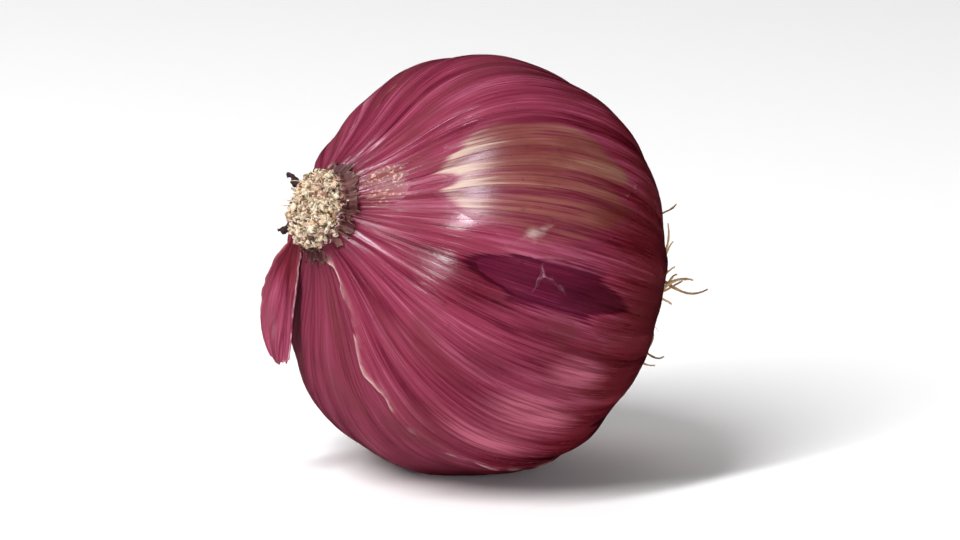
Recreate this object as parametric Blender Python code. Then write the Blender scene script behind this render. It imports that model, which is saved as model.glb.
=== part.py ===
"""A red onion lying on its side, with its dried neck pointing left and a little up, and roots at the right.

Metres, +Z up. The origin is on the surface that the onion rests on, under the middle of the whole part.
Every piece is worked out round the onion's own axis, which runs from the root plate to the neck. A point is
given there by its height along the axis (from the widest place, positive towards the neck), its distance from
the axis and its angle round it (0 is the side that faces up, and a quarter turn faces the front, -Y)."""

import math

import bmesh
import bpy
import numpy as np
from mathutils import Matrix, Vector

# Bulb
BULB_RADIUS = 0.040
NECK_SIDE_LENGTH = 0.030  # from the widest place to where the shoulder would close without its rise
ROOT_SIDE_LENGTH = 0.032
FULLNESS = 2.35  # exponent of the outline: 2 is an ellipse, and more is fuller
SHOULDER_RISE = 0.007  # how far the shoulder is drawn up at the neck
SHOULDER_SPREAD = 0.013
ROOT_DIP = 0.0012  # how far the base is drawn in round the root plate
ROOT_DIP_SPREAD = 0.011
NECK_TILT = math.radians(20)  # the neck end points up by this much
FLAT_DEPTH = 0.0013  # how much of the bulb's lowest side is flat
BULB_ROWS, BULB_COLUMNS = 38, 72

# Low relief of the bulb: whole-body unevenness, broad ribs from end to end and a few folds of dry skin.
# A lobe is a number of waves, their phase and their share of the radius. The first one sets the belly a
# little below the line from neck to roots.
LOBES = ((1, math.pi, 0.065), (2, 1.1, 0.008), (3, 0.4, 0.005), (5, 2.0, 0.002))
RIB_COUNT, RIB_HEIGHT = 14, 0.00028
RIB_SWAY = 1.6  # how far the ribs stray, in radians of their own wave
FOLD_HEIGHT, FOLD_WIDTH = 0.0006, math.radians(5)
FOLD_LEAN = 0.14  # how far a fold leans over the bulb's length, in radians
FOLD_ANGLES = tuple(math.radians(a) for a in (28, 76, 118, 141, 205, 262, 318))
RELIEF_FADE = 0.4  # share of the radius over which the relief fades in from the collar

# Hole for the neck, dish for the root plate, and the gap between pieces that touch
COLLAR_RADIUS = 0.0080
SOCKET_RADIUS = 0.0062
SOCKET_DEPTH = 0.006
DISH_RADIUS = 0.0074
DISH_DEPTH = 0.0016
LIP = 0.0005
GAP = 0.0003

# Neck: dried leaf bases, cut across
NECK_STANDS_OUT = 0.0056
NECK_TOP_RADIUS = 0.0071
NECK_WAIST_RADIUS = 0.0066
NECK_PROFILE = (  # share of what stands out, radius, share of the pleats' depth
    (0.25, NECK_WAIST_RADIUS, 0.6),
    (0.50, 0.5 * (NECK_WAIST_RADIUS + NECK_TOP_RADIUS), 1.0),
    (0.75, NECK_TOP_RADIUS, 1.0),
    (0.93, 0.97 * NECK_TOP_RADIUS, 1.0),
    (1.0, 0.86 * NECK_TOP_RADIUS, 0.8),
    (1.035, 0.45 * NECK_TOP_RADIUS, 0.5),
)
NECK_PLEATS, PLEAT_DEPTH = 9, 0.0005
LEAF_THICKNESS = 0.0008
LEAF_SUNK = 0.0022  # how deep a leaf end is rooted in the core
LEAF_RINGS = ((0.0063, 5, 0.0015), (0.0042, 4, 0.0020), (0.0020, 2, 0.0018))  # radius, pieces, height
LEAF_SWEEPS = (0.62, 0.84)  # share of its place round the ring that a leaf end fills
LEAF_LEANS = (-0.0004, 0.0009)  # how far its top leans in or out
LEAF_RAGGED = (0.75, 0.45)  # its least height, and what may be added, as shares of the ring's height
LEAF_CORNERS = 0.55  # how much of that height is left at its two corners
LEAF_POINTS, LEAF_LEVELS = 7, 3
STUBS = ((232, 0.0038, 0.0007), (296, 0.0046, 0.0008))  # angle round the axis, length, radius
STUB_SUNK = 0.0025
STUB_TAPER = (1.0, 1.0, 0.9, 0.7)
STUB_RISE, STUB_REACH = 0.35, 0.85  # how much of its length runs along the axis and away from it

# Roots
PLATE_DOME = 0.0014
ROOT_COUNT = 66
ROOT_LENGTHS = (0.010, 0.018)
ROOT_RADIUS, ROOT_TIP_RADIUS = 0.00046, 0.00030
ROOT_STEPS, ROOT_SIDES = 6, 4
ROOT_SUNK = 0.0012
ROOT_CLEARANCE = 0.0017  # from a root's middle line to the smooth outline of the bulb
ROOT_FIELD = 0.86  # share of the plate's radius that the roots fill
ROOT_SPREAD = (0.25, 1.15)  # lean of a root in the middle, and what is added at the rim, in radians
ROOT_LEANS, ROOT_TURN = (-0.15, 0.2), 0.4  # random parts of the lean and of the direction round the axis
ROOT_CURLS, CURL_CHANGE = (0.25, 0.62), 0.25  # turn at each step, and how fast the turn's own axis strays

# Loose scale
SKIN_ANGLE_START, SKIN_ANGLE_END = math.radians(236), math.radians(200.5)  # round the axis
SKIN_START, SKIN_END = 0.0094, 0.0332  # distance from the axis
SKIN_HALF_WIDTH = 0.0057
SKIN_FOOT = 0.40  # share of that width at the neck
SKIN_WIDEST = 0.56  # share of the length where it is widest
SKIN_TIP = 0.46  # share of the length over which the tip is rounded
SKIN_SLANT = (0.115, 0.065)  # share of the length that the two edges end before the tip
SKIN_CREST = 0.15  # where across the width the tip is, from -1 to 1
SKIN_THICKNESS = 0.0007
SKIN_LIFT_START, SKIN_LIFT_END = 0.0010, 0.0080
SKIN_LIFT_POWER = 2.2
SKIN_CURL = 0.0030  # how far its outer edge turns up
SKIN_CURL_POWER = 1.5
SKIN_WAVE = 0.0004
SKIN_ROWS, SKIN_COLUMNS = 18, 9

COLOURS = {
    "bulb": ((0.235, 0.030, 0.070), 0.32),
    "neck": ((0.480, 0.330, 0.200), 0.85),
    "root_tuft": ((0.520, 0.360, 0.190), 0.80),
    "loose_skin": ((0.300, 0.060, 0.120), 0.45),
}

AXIS = np.array((-math.cos(NECK_TILT), 0.0, math.sin(NECK_TILT)))  # root plate to neck
UPWARD = np.array((math.sin(NECK_TILT), 0.0, math.cos(NECK_TILT)))
FRONT = np.array((0.0, -1.0, 0.0))


def clear_scene():
    for obj in list(bpy.data.objects):
        bpy.data.objects.remove(obj, do_unlink=True)


def ease(value):
    """Three squares less two cubes of the value, held between 0 and 1."""
    value = np.clip(value, 0.0, 1.0)
    return value * value * (3 - 2 * value)


def place(height, distance, angle):
    """Points from their height along the axis, distance from it and angle round it."""
    height, distance, angle = np.broadcast_arrays(height, distance, angle)
    round_axis = np.cos(angle)[..., None] * UPWARD + np.sin(angle)[..., None] * FRONT
    return height[..., None] * AXIS + distance[..., None] * round_axis


def shoulder_height(distance):
    """Height of the smooth outline on the neck's side, at this distance from the axis."""
    share = np.clip(distance / BULB_RADIUS, 0.0, 1.0)
    rise = SHOULDER_RISE * np.exp(-((distance / SHOULDER_SPREAD) ** 2))
    return NECK_SIDE_LENGTH * (1 - share**FULLNESS) ** (1 / FULLNESS) + rise


def base_height(distance):
    """Height of the smooth outline on the roots' side, which is negative."""
    share = np.clip(distance / BULB_RADIUS, 0.0, 1.0)
    dip = ROOT_DIP * np.exp(-((distance / ROOT_DIP_SPREAD) ** 2))
    return dip - ROOT_SIDE_LENGTH * (1 - share**FULLNESS) ** (1 / FULLNESS)


def bulb_outline():
    """Heights and distances of the bulb's outer side, from the dish to the collar, evenly spaced."""
    turn = np.linspace(0.0, math.pi / 2, 300)
    out = BULB_RADIUS * np.sin(turn) ** (2 / FULLNESS)
    root_side = out[out > DISH_RADIUS + LIP]
    neck_side = out[out > COLLAR_RADIUS][::-1][1:]
    distance = np.concatenate((root_side, neck_side))
    height = np.concatenate((base_height(root_side), shoulder_height(neck_side)))
    run = np.concatenate(([0.0], np.cumsum(np.hypot(np.diff(height), np.diff(distance)))))
    even = np.linspace(0.0, run[-1], BULB_ROWS)
    return np.interp(even, run, height), np.interp(even, run, distance)


def relief(height, distance, angle):
    """How far the surface stands out from the smooth outline. It fades away near the dish and the collar."""
    fade = ease((distance - COLLAR_RADIUS) / (RELIEF_FADE * BULB_RADIUS))
    lobes = sum(BULB_RADIUS * share * np.cos(waves * angle + phase) for waves, phase, share in LOBES)
    ribs = RIB_HEIGHT * np.cos(RIB_COUNT * angle + RIB_SWAY * np.sin(2 * angle + 0.7))
    folds = 0.0
    for number, fold in enumerate(FOLD_ANGLES):
        lean = FOLD_LEAN * math.sin(2.3 * number) * height / NECK_SIDE_LENGTH
        away = (angle - fold - lean + math.pi) % (2 * math.pi) - math.pi
        folds = folds + FOLD_HEIGHT * np.exp(-((away / FOLD_WIDTH) ** 2))
    return fade * (lobes + ribs + folds)


def turned_body(height, distance, angle):
    """Vertices and faces of a closed body: rings of points along the axis, each end closed to a middle point."""
    rings, columns = distance.shape
    points = place(height, distance, angle).reshape(-1, 3)
    ends = np.array((place(height[0].mean(), 0.0, 0.0), place(height[-1].mean(), 0.0, 0.0)))
    faces = []
    for column in range(columns):
        following = (column + 1) % columns
        faces.append((rings * columns, following, column))
        last = (rings - 1) * columns
        faces.append((rings * columns + 1, last + column, last + following))
        for ring in range(rings - 1):
            near, far = ring * columns, (ring + 1) * columns
            faces.append((near + column, near + following, far + following, far + column))
    return np.concatenate((points, ends)), faces


def slab(front, back):
    """Vertices and faces of a thin closed sheet between two grids of points, split alike on both sides."""
    rows, columns = front.shape[:2]
    count = rows * columns
    points = np.concatenate((front.reshape(-1, 3), back.reshape(-1, 3)))
    faces = []
    for row in range(rows - 1):
        for column in range(columns - 1):
            a = row * columns + column
            b, c, d = a + 1, a + columns + 1, a + columns
            faces += [(a, b, c), (a, c, d)]
            faces += [(count + c, count + b, count + a), (count + d, count + c, count + a)]
    rim = [(0, column) for column in range(columns)]
    rim += [(row, columns - 1) for row in range(1, rows)]
    rim += [(rows - 1, column) for column in range(columns - 2, -1, -1)]
    rim += [(row, 0) for row in range(rows - 2, 0, -1)]
    border = [row * columns + column for row, column in rim]
    for here, there in zip(border, border[1:] + border[:1]):
        faces.append((there, here, count + here, count + there))
    return points, faces


def tube(path, radii, sides):
    """Vertices and faces of a closed tube along a path, with one radius for each point."""
    path = [Vector(point) for point in path]
    radii = [float(radius) for radius in radii]
    points, faces = [], []
    across = None
    for number, (middle, radius) in enumerate(zip(path, radii)):
        along = (path[min(number + 1, len(path) - 1)] - path[max(number - 1, 0)]).normalized()
        across = along.orthogonal() if across is None else across - across.dot(along) * along
        across.normalize()
        other = along.cross(across)
        for side in range(sides):
            turn = 2 * math.pi * side / sides
            points.append(middle + radius * (math.cos(turn) * across + math.sin(turn) * other))
    for step in range(len(path) - 1):
        for side in range(sides):
            here, there = step * sides + side, step * sides + (side + 1) % sides
            faces.append((here, there, there + sides, here + sides))
    faces.append(tuple(reversed(range(sides))))
    faces.append(tuple(range(len(points) - sides, len(points))))
    return points, faces


def add_mesh(name, points, faces, collection=None):
    mesh = bpy.data.meshes.new(name)
    mesh.from_pydata([tuple(map(float, point)) for point in points], [], faces)
    work = bmesh.new()
    work.from_mesh(mesh)
    bmesh.ops.recalc_face_normals(work, faces=work.faces)
    work.to_mesh(mesh)
    work.free()
    obj = bpy.data.objects.new(name, mesh)
    (collection or bpy.context.scene.collection).objects.link(obj)
    return obj


def join_all(obj, collection):
    """One union of the object with all that the collection holds, which is then removed."""
    union = obj.modifiers.new("union", "BOOLEAN")
    union.operation = "UNION"
    union.operand_type = "COLLECTION"
    union.collection = collection
    union.solver = "EXACT"
    graph = bpy.context.evaluated_depsgraph_get()
    joined = bpy.data.meshes.new_from_object(obj.evaluated_get(graph))
    obj.modifiers.clear()
    obj.data = joined
    for helper in list(collection.objects):
        bpy.data.objects.remove(helper, do_unlink=True)
    bpy.data.collections.remove(collection)


def helpers(name):
    collection = bpy.data.collections.new(name)
    bpy.context.scene.collection.children.link(collection)
    return collection


def finish(obj):
    """The piece's own material and smooth shading with sharp edges kept."""
    colour, roughness = COLOURS[obj.name]
    material = bpy.data.materials.new(obj.name)
    material.use_nodes = True
    shader = material.node_tree.nodes["Principled BSDF"]
    shader.inputs["Base Color"].default_value = (*colour, 1.0)
    shader.inputs["Roughness"].default_value = roughness
    shader.inputs["Metallic"].default_value = 0.0
    obj.data.materials.clear()
    obj.data.materials.append(material)
    obj.data.shade_smooth()
    obj.data.set_sharp_from_angle(angle=math.radians(40))
    return obj


def make_bulb():
    height, distance = bulb_outline()
    rim = shoulder_height(COLLAR_RADIUS)
    dish = base_height(DISH_RADIUS) + DISH_DEPTH
    # The dish's floor and wall come before the outer side; the lip, the hole's wall and its floor come after it
    height = np.concatenate(([dish, base_height(DISH_RADIUS)], height, [rim + LIP, rim, rim - SOCKET_DEPTH]))
    inner = [SOCKET_RADIUS + LIP, SOCKET_RADIUS, SOCKET_RADIUS]
    distance = np.concatenate(([DISH_RADIUS, DISH_RADIUS], distance, inner))
    angle = np.linspace(0.0, 2 * math.pi, BULB_COLUMNS, endpoint=False)
    height, angle = np.broadcast_arrays(height[:, None], angle[None, :])
    distance = distance[:, None] + relief(height, distance[:, None], angle)
    return add_mesh("bulb", *turned_body(height, distance, angle))


def rest_on_surface(objects, bulb):
    """Moves all pieces so that the bulb's lowest side dips under z = 0, and makes it flat there."""
    lowest = min(vertex.co.z for vertex in bulb.data.vertices)
    for obj in objects:
        obj.data.transform(Matrix.Translation((0.0, 0.0, -lowest - FLAT_DEPTH)))
    work = bmesh.new()
    work.from_mesh(bulb.data)
    everything = work.verts[:] + work.edges[:] + work.faces[:]
    cut = bmesh.ops.bisect_plane(
        work,
        geom=everything,
        dist=0.00004,
        plane_co=(0.0, 0.0, 0.0),
        plane_no=(0.0, 0.0, 1.0),
        clear_inner=True,
    )
    rim = [item for item in cut["geom_cut"] if isinstance(item, bmesh.types.BMEdge)]
    for edge in rim:
        for vertex in edge.verts:
            vertex.co.z = 0.0
    bmesh.ops.contextual_create(work, geom=rim)
    bmesh.ops.recalc_face_normals(work, faces=work.faces)
    work.to_mesh(bulb.data)
    work.free()


def centre_over_origin(objects):
    """Moves all pieces so that the origin is under the middle of the part's bounding box."""
    points = np.array([vertex.co for obj in objects for vertex in obj.data.vertices])
    middle = (points.min(axis=0) + points.max(axis=0)) / 2
    for obj in objects:
        obj.data.transform(Matrix.Translation((-middle[0], -middle[1], 0.0)))


def make_neck():
    """A pleated core whose foot stands in the bulb's hole, with rings of ragged leaf ends and two dry stubs."""
    rim = shoulder_height(COLLAR_RADIUS)
    foot = rim - SOCKET_DEPTH + GAP
    top = rim + NECK_STANDS_OUT
    inside = SOCKET_RADIUS - GAP
    steps = [(foot, inside, 0.0), (rim + LIP, inside, 0.0)]
    steps += [(rim + share * NECK_STANDS_OUT, radius, depth) for share, radius, depth in NECK_PROFILE]
    level, radius, depth = (np.array(column)[:, None] for column in zip(*steps))
    angle = np.linspace(0.0, 2 * math.pi, 5 * NECK_PLEATS, endpoint=False)
    pleats = np.cos(NECK_PLEATS * angle + 0.8 * np.sin(2 * angle))
    height = level + 0 * angle
    distance = radius + PLEAT_DEPTH * depth * pleats
    neck = add_mesh("neck", *turned_body(height, distance, angle[None, :] + 0 * height))
    leaves = helpers("leaf ends")
    draw = np.random.default_rng(7)
    for radius, pieces, stands in LEAF_RINGS:
        for piece in range(pieces):
            start = 2 * math.pi * (piece + 0.35 * draw.random()) / pieces
            sweep = 2 * math.pi / pieces * draw.uniform(*LEAF_SWEEPS)
            turns = start + sweep * np.linspace(0.0, 1.0, LEAF_POINTS)[None, :]
            ragged = stands * (LEAF_RAGGED[0] + LEAF_RAGGED[1] * draw.random(LEAF_POINTS))
            ragged[[0, -1]] *= LEAF_CORNERS
            levels = np.linspace(0.0, 1.0, LEAF_LEVELS)[:, None]
            up = top - LEAF_SUNK + levels * (LEAF_SUNK + ragged[None, :])
            lean = levels * draw.uniform(*LEAF_LEANS)
            outer = radius + lean + 0.0003 * np.sin(3 * turns + 5 * radius)
            leaf = slab(place(up, outer, turns), place(up, outer - LEAF_THICKNESS, turns))
            add_mesh("leaf end", *leaf, collection=leaves)
    for degrees, length, radius in STUBS:
        turn = math.radians(degrees)
        reach = np.linspace(-STUB_SUNK, length, len(STUB_TAPER))
        path = place(top - LEAF_SUNK + STUB_RISE * reach, NECK_TOP_RADIUS + STUB_REACH * reach, turn)
        stub = tube(path, radius * np.array(STUB_TAPER), 5)
        add_mesh("dry stub", *stub, collection=leaves)
    join_all(neck, leaves)
    return neck


def root_path(draw, number):
    """Points of one curly root. It starts inside the plate, turns as it goes and keeps clear of the bulb."""
    share = (number + 0.5) / ROOT_COUNT
    around = number * math.pi * (3 - math.sqrt(5))
    out = ROOT_FIELD * (DISH_RADIUS - GAP) * math.sqrt(share)
    dome = PLATE_DOME * math.sqrt(1 - (out / (DISH_RADIUS - GAP)) ** 2)
    start = base_height(DISH_RADIUS) - GAP - dome + ROOT_SUNK
    spread = ROOT_SPREAD[0] + ROOT_SPREAD[1] * share + draw.uniform(*ROOT_LEANS)
    turned = around + draw.uniform(-ROOT_TURN, ROOT_TURN)
    heading = Vector(place(-math.cos(spread), math.sin(spread), turned))
    here = Vector(place(start, out, around))
    length = draw.uniform(*ROOT_LENGTHS)
    curl = Vector(draw.normal(size=3)).normalized() * draw.uniform(*ROOT_CURLS)
    path = [here.copy()]
    for step in range(ROOT_STEPS):
        here = here + heading * (length / ROOT_STEPS)
        path.append(keep_clear(here))
        curl = (curl + CURL_CHANGE * Vector(draw.normal(size=3))).normalized() * curl.length
        heading = (heading + curl.cross(heading)).normalized()
    return path


def keep_clear(point):
    """The point, moved out along the axis where it is too near the bulb."""
    along = float(point.dot(Vector(AXIS)))
    distance = (point - along * Vector(AXIS)).length
    most = float(base_height(distance)) - ROOT_CLEARANCE
    return point + Vector(AXIS) * min(0.0, most - along) if distance > DISH_RADIUS - GAP else point


def make_root_tuft():
    """A low domed plate in the bulb's dish, with roots fused into it."""
    foot = base_height(DISH_RADIUS) + DISH_DEPTH - GAP
    radius = DISH_RADIUS - GAP
    turn = np.linspace(0.15, math.pi / 2, 5)[::-1]
    edge = foot - DISH_DEPTH
    height = np.concatenate(([foot, edge], edge - PLATE_DOME * np.cos(turn)[1:]))
    distance = np.concatenate(([radius, radius], radius * np.sin(turn)[1:]))
    angle = np.linspace(0.0, 2 * math.pi, 28, endpoint=False)
    height, angle = np.broadcast_arrays(height[:, None], angle[None, :])
    tuft = add_mesh("root_tuft", *turned_body(height, distance[:, None] + 0 * angle, angle))
    roots = helpers("roots")
    draw = np.random.default_rng(11)
    radii = np.linspace(ROOT_RADIUS, ROOT_TIP_RADIUS, ROOT_STEPS + 1)
    for number in range(ROOT_COUNT):
        add_mesh("root", *tube(root_path(draw, number), radii, ROOT_SIDES), collection=roots)
    join_all(tuft, roots)
    return tuft


def make_loose_skin():
    """A leaf-shaped, wavy scale with a slanting tip. It starts at the collar, stands further off the bulb
    towards its tip and turns up along one edge."""
    across = np.linspace(-1.0, 1.0, SKIN_COLUMNS)[None, :]
    before = np.maximum(0.0, (SKIN_CREST - across) / (1 + SKIN_CREST))
    after = np.maximum(0.0, (across - SKIN_CREST) / (1 - SKIN_CREST))
    reach = 1 - SKIN_SLANT[0] * before**2 - SKIN_SLANT[1] * after**2
    along = np.linspace(0.0, 1.0, SKIN_ROWS)[:, None] * reach
    distance = SKIN_START + (SKIN_END - SKIN_START) * along
    angle = SKIN_ANGLE_START + (SKIN_ANGLE_END - SKIN_ANGLE_START) * along
    tip = np.sqrt(1 - (np.maximum(along - SKIN_WIDEST, 0.0) / SKIN_TIP) ** 2)
    share = (SKIN_FOOT + (1 - SKIN_FOOT) * ease(along / SKIN_WIDEST)) * tip
    lift = SKIN_LIFT_START + (SKIN_LIFT_END - SKIN_LIFT_START) * along**SKIN_LIFT_POWER
    curl = SKIN_CURL * np.minimum(1.0, 2.6 * along) * share * (0.5 + 0.5 * across) ** SKIN_CURL_POWER
    waves = SKIN_WAVE * np.sin(8 * along + 2 * across)
    height = shoulder_height(distance) + lift + curl + waves
    sideways = (SKIN_HALF_WIDTH * share * across)[..., None] * place(0.0, 1.0, angle + math.pi / 2)
    sheet = place(height, distance, angle) + sideways
    outward = np.cross(np.gradient(sheet, axis=0), np.gradient(sheet, axis=1))
    outward /= np.linalg.norm(outward, axis=2, keepdims=True)
    half = 0.5 * SKIN_THICKNESS * outward
    return add_mesh("loose_skin", *slab(sheet + half, sheet - half))


def main():
    clear_scene()
    bulb = make_bulb()
    pieces = [bulb, make_neck(), make_root_tuft(), make_loose_skin()]
    rest_on_surface(pieces, bulb)
    centre_over_origin(pieces)
    for piece in pieces:
        finish(piece)


main()
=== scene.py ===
import math

import bmesh
import bpy
import numpy as np
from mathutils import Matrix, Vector


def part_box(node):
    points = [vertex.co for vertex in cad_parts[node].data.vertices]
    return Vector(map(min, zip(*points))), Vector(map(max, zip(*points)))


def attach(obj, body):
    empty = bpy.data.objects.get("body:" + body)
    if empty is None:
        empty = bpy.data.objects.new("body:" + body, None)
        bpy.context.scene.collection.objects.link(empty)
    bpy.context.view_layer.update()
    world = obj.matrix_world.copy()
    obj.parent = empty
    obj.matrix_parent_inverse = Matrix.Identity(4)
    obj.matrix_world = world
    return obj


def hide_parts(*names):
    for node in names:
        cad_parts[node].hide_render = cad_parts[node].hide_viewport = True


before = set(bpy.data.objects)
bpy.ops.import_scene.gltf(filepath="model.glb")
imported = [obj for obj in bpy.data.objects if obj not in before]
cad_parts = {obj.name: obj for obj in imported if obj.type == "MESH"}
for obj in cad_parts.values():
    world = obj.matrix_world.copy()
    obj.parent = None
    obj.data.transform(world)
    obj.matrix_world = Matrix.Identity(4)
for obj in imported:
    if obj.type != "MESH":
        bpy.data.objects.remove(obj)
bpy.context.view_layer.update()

print("onion: frame loaded,", len(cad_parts), "solids")

# The onion's own axis runs from the roots to the neck. A place on it is a height along that axis, a distance
# from it and an angle round it, where 0 is the side that faces up and a quarter turn faces the front, -Y.
bulbForm = {
    "radius": 0.040,
    "neckSide": 0.030,
    "rootSide": 0.032,
    "fullness": 2.35,
    "shoulderRise": 0.007,
    "shoulderSpread": 0.013,
    "rootDip": 0.0012,
    "rootDipSpread": 0.011,
    "collar": 0.0080,
    "dish": 0.0074,
    "dishDepth": 0.0016,
    "lip": 0.0005,
    "neckTilt": math.radians(20),
    # Waves round the body, their phase and their share of the radius
    "lobes": ((1, math.pi, 0.065), (2, 1.1, 0.008), (3, 0.4, 0.005), (5, 2.0, 0.002)),
    "ribs": 14,
    "ribHeight": 0.00028,
    "folds": tuple(math.radians(degrees) for degrees in (28, 76, 118, 141, 205, 262, 318)),
    "foldHeight": 0.0006,
    "foldWidth": math.radians(5),
    "foldLean": 0.14,
}
axis = np.array((-math.cos(bulbForm["neckTilt"]), 0.0, math.sin(bulbForm["neckTilt"])))
upward = np.array((math.sin(bulbForm["neckTilt"]), 0.0, math.cos(bulbForm["neckTilt"])))
front = np.array((0.0, -1.0, 0.0))
stand = {"shift": np.zeros(3)}
noiseTables = {}


def ease(value):
    # Three squares less two cubes of the value, held between 0 and 1
    value = np.clip(value, 0.0, 1.0)
    return value * value * (3 - 2 * value)


def point(x, y, z):
    # Three values or arrays of them as one array of points
    return np.stack(np.broadcast_arrays(x, y, z), axis=-1)


def grid(down, rows, over, columns):
    # Two parameters on a grid, each from one end of its pair to the other
    return np.meshgrid(np.linspace(*down, rows), np.linspace(*over, columns), indexing="ij")


def softNoise(places, seed):
    # Random numbers at whole-number places, eased between the eight round each place, from -1 to 1
    if seed not in noiseTables:
        noiseTables[seed] = np.random.default_rng(seed).uniform(-1.0, 1.0, (32, 32, 32))
    corner = np.floor(places).astype(int)
    share = ease(places - corner)
    total = 0.0
    for side in np.ndindex(2, 2, 2):
        weight = np.where(side, share, 1 - share).prod(axis=-1)
        x, y, z = np.moveaxis((corner + side) % 32, -1, 0)
        total = total + weight * noiseTables[seed][x, y, z]
    return total


def layeredNoise(places, seed, layers=4, fall=0.55):
    # Noise plus ever finer and weaker noise, divided by the sum of the weights
    total = sum(fall**n * softNoise(places * 2.0**n + 5.7 * n, seed + n) for n in range(layers))
    return total / sum(fall**n for n in range(layers))


def roundPlace(run, angle, across, lengthways):
    # A place for noise that closes round the onion: a circle of radius across, carried along the run
    return point(across * np.cos(angle), across * np.sin(angle), lengthways * run)


def place(height, distance, angle):
    # Height times the axis plus distance times the direction at that angle round it
    height, distance, angle = np.broadcast_arrays(height, distance, angle)
    outward = np.cos(angle)[..., None] * upward + np.sin(angle)[..., None] * front
    return height[..., None] * axis + distance[..., None] * outward + stand["shift"]


def quarter(distance):
    # A quarter of a superellipse: 1 at the axis, 0 at the widest place
    share = np.clip(distance / bulbForm["radius"], 0.0, 1.0)
    return (1 - share ** bulbForm["fullness"]) ** (1 / bulbForm["fullness"])


def shoulderHeight(distance):
    # The quarter, plus a rise that fades away from the neck
    rise = bulbForm["shoulderRise"] * np.exp(-((distance / bulbForm["shoulderSpread"]) ** 2))
    return bulbForm["neckSide"] * quarter(distance) + rise


def baseHeight(distance):
    # The same on the roots' side, which is negative, with a dip round the root plate
    dip = bulbForm["rootDip"] * np.exp(-((distance / bulbForm["rootDipSpread"]) ** 2))
    return dip - bulbForm["rootSide"] * quarter(distance)


def outlineTable():
    # The side view as a run, 0 at the dish and 1 at the collar, by length; past 1 it turns up the neck
    turn = np.linspace(0.0, math.pi / 2, 1500)
    out = bulbForm["radius"] * np.sin(turn) ** (2 / bulbForm["fullness"])
    rootSide = out[out > bulbForm["dish"] + bulbForm["lip"]]
    neckSide = out[out > bulbForm["collar"]][::-1][1:]
    distance = np.concatenate((rootSide, neckSide))
    height = np.concatenate((baseHeight(rootSide), shoulderHeight(neckSide)))
    collarLength = np.hypot(np.diff(height), np.diff(distance)).sum()
    slope = math.atan2(height[-1] - height[-2], distance[-2] - distance[-1])
    step = 0.00012
    beyond = step * np.arange(1, 81)
    heading = slope + (math.radians(88) - slope) * ease(beyond / 0.0026)
    height = np.concatenate((height, height[-1] + np.cumsum(step * np.sin(heading))))
    distance = np.concatenate((distance, distance[-1] - np.cumsum(step * np.cos(heading))))
    length = np.concatenate(([0.0], np.cumsum(np.hypot(np.diff(height), np.diff(distance)))))
    upRate = np.gradient(height, length)
    outRate = np.gradient(distance, length)
    size = np.hypot(upRate, outRate)
    return {
        "run": length / collarLength,
        "length": collarLength,
        "height": height,
        "distance": distance,
        "normalHeight": -outRate / size,
        "normalDistance": upRate / size,
    }


outline = outlineTable()
runLength = 1000 * outline["length"]  # millimetres


def along(run, name):
    # One column of the outline's table, read at these runs
    return np.interp(run, outline["run"], outline[name])


def radiusAt(run):
    # Millimetres from the axis
    return 1000 * along(run, "distance")


def relief(height, distance, angle):
    # Waves round the body, broad ribs and a few leaning folds, faded out near the dish and the collar
    fade = ease((distance - bulbForm["collar"]) / (0.4 * bulbForm["radius"]))
    waves = (share * np.cos(n * angle + phase) for n, phase, share in bulbForm["lobes"])
    lobes = bulbForm["radius"] * sum(waves)
    ribs = bulbForm["ribHeight"] * np.cos(bulbForm["ribs"] * angle + 1.6 * np.sin(2 * angle + 0.7))
    folds = 0.0
    for number, fold in enumerate(bulbForm["folds"]):
        lean = bulbForm["foldLean"] * math.sin(2.3 * number) * height / bulbForm["neckSide"]
        away = (angle - fold - lean + math.pi) % (2 * math.pi) - math.pi
        folds = folds + bulbForm["foldHeight"] * np.exp(-((away / bulbForm["foldWidth"]) ** 2))
    return fade * (lobes + ribs + folds)


def onBulb(run, angle, lift):
    # The point of the outline at this run, moved out by the relief, then by lift along the outline's normal
    run, angle, lift = np.broadcast_arrays(run, angle, lift)
    height = along(run, "height")
    distance = along(run, "distance")
    distance = distance + relief(height, distance, angle) + lift * along(run, "normalDistance")
    return place(height + lift * along(run, "normalHeight"), distance, angle)


def findShift():
    # How far the solids were moved as one: middle of the bulb's box in x and y, and its highest z
    run, angle = np.meshgrid(np.linspace(0.0, 1.0, 240), np.linspace(0.0, 2 * math.pi, 720))
    points = onBulb(run, angle, 0.0).reshape(-1, 3)
    low, high = (np.array(corner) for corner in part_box("bulb"))
    shift = (low + high) / 2 - (points.min(axis=0) + points.max(axis=0)) / 2
    shift[2] = high[2] - points[:, 2].max()
    return shift


stand["shift"] = findShift()

# Wrinkles that every skin shares, so that one lies on the next
wrinkleForm = {
    "veins": 112,  # lengthwise veins round the bulb
    "fineVeins": 190,
    "wander": 3.2,  # how far the veins stray, in radians of their own spacing
    "strip": 0.00003,  # crown of the strip between two veins
    "broad": 0.00034,
    "fine": 0.00007,
    "gathers": 31,  # pleats where the skin is drawn in at the neck
    "gather": 0.00030,
}


def veinWander(run, angle):
    # Soft noise, stretched along the veins
    return wrinkleForm["wander"] * softNoise(roundPlace(run, angle, 6.0, 3.4), 3)


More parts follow.
